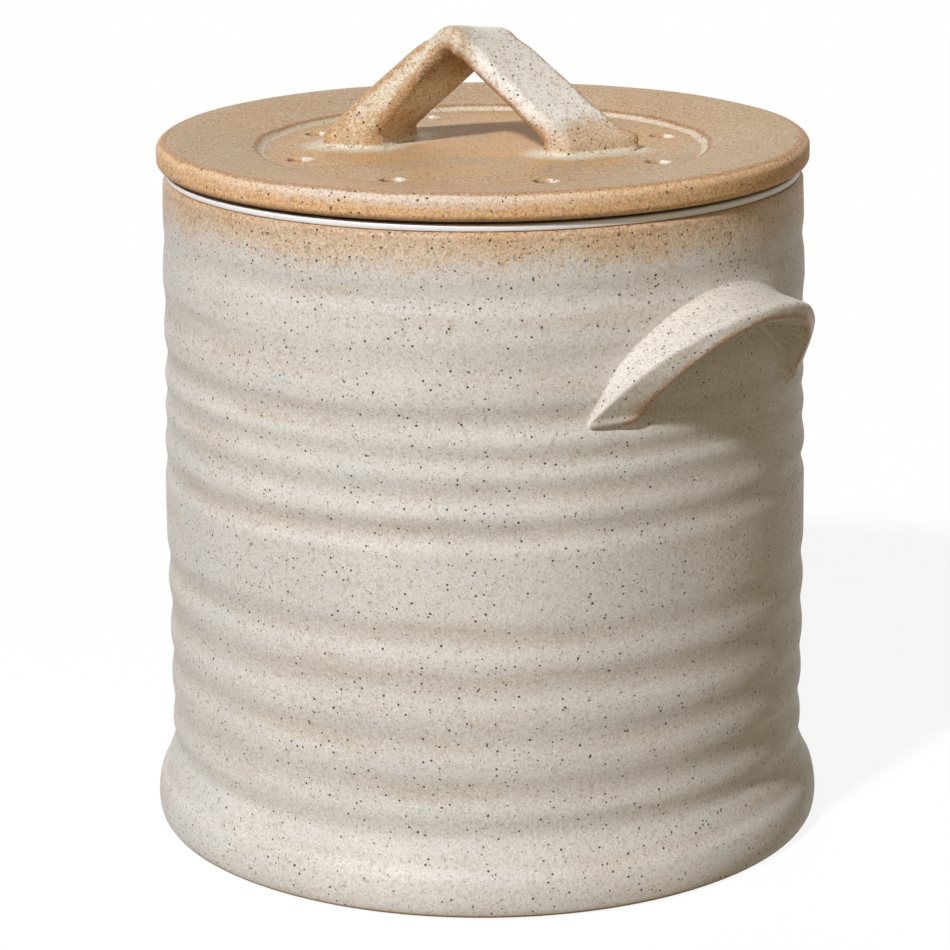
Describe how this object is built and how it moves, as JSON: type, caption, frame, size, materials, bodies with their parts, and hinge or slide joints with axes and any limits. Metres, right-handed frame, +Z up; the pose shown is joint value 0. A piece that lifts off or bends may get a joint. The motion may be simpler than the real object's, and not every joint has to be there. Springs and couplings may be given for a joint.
{
  "type": "compost crock with lid",
  "caption": "Round stoneware compost crock with two side ears, a lift-off vented lid with a folded strap handle, a lift-out liner with a bail and a charcoal filter.",
  "frame": {"origin": "centre of the foot ring, on the table", "axes": "+Z up along the crock's axis, X through the two side ears"},
  "size_m": [0.2192, 0.2008, 0.237],
  "materials": {
    "crock_stoneware": "satin speckled glaze, bare clay under the foot",
    "handle_stoneware": "satin speckled glaze",
    "lid_stoneware": "satin speckled glaze, bare clay underneath",
    "strap_stoneware": "satin speckled glaze",
    "liner_plastic": "satin moulded polypropylene",
    "bail_plastic": "satin moulded polypropylene",
    "seal_silicone": "matte silicone",
    "filter_plastic": "matte moulded polypropylene",
    "charcoal_felt": "open charcoal felt"
  },
  "bodies": {
    "crock": {"crock_body": "crock_stoneware", "side_handle_right": "handle_stoneware", "side_handle_left": "handle_stoneware"},
    "liner": {"liner_bucket": "liner_plastic"},
    "bail": {"liner_bail": "bail_plastic"},
    "lid": {"lid_disc": "lid_stoneware", "lid_handle": "strap_stoneware", "lid_seal": "seal_silicone", "filter_holder": "filter_plastic"},
    "filter": {"filter_cover": "filter_plastic", "charcoal_pad": "charcoal_felt"}
  },
  "joints": [
    {"name": "liner_lift", "type": "slide", "parent": "crock", "child": "liner", "axis": [0, 0, 1], "range_m": [0, 0.2]},
    {"name": "lid_lift", "type": "slide", "parent": "liner", "child": "lid", "axis": [0, 0, 1], "range_m": [0, 0.15]},
    {"name": "bail_swing", "type": "hinge", "parent": "liner", "child": "bail", "pos_m": [0, 0, 0.1848], "axis": [-1, 0, 0], "range_deg": [0, 90]},
    {"name": "filter_cover_pull", "type": "slide", "parent": "lid", "child": "filter", "axis": [0, 0, -1], "range_m": [0, 0.02]}
  ],
  "couplings": [
    {"joint": "bail_swing", "follows": "lid_lift", "rad_per_m": 10.4}
  ]
}
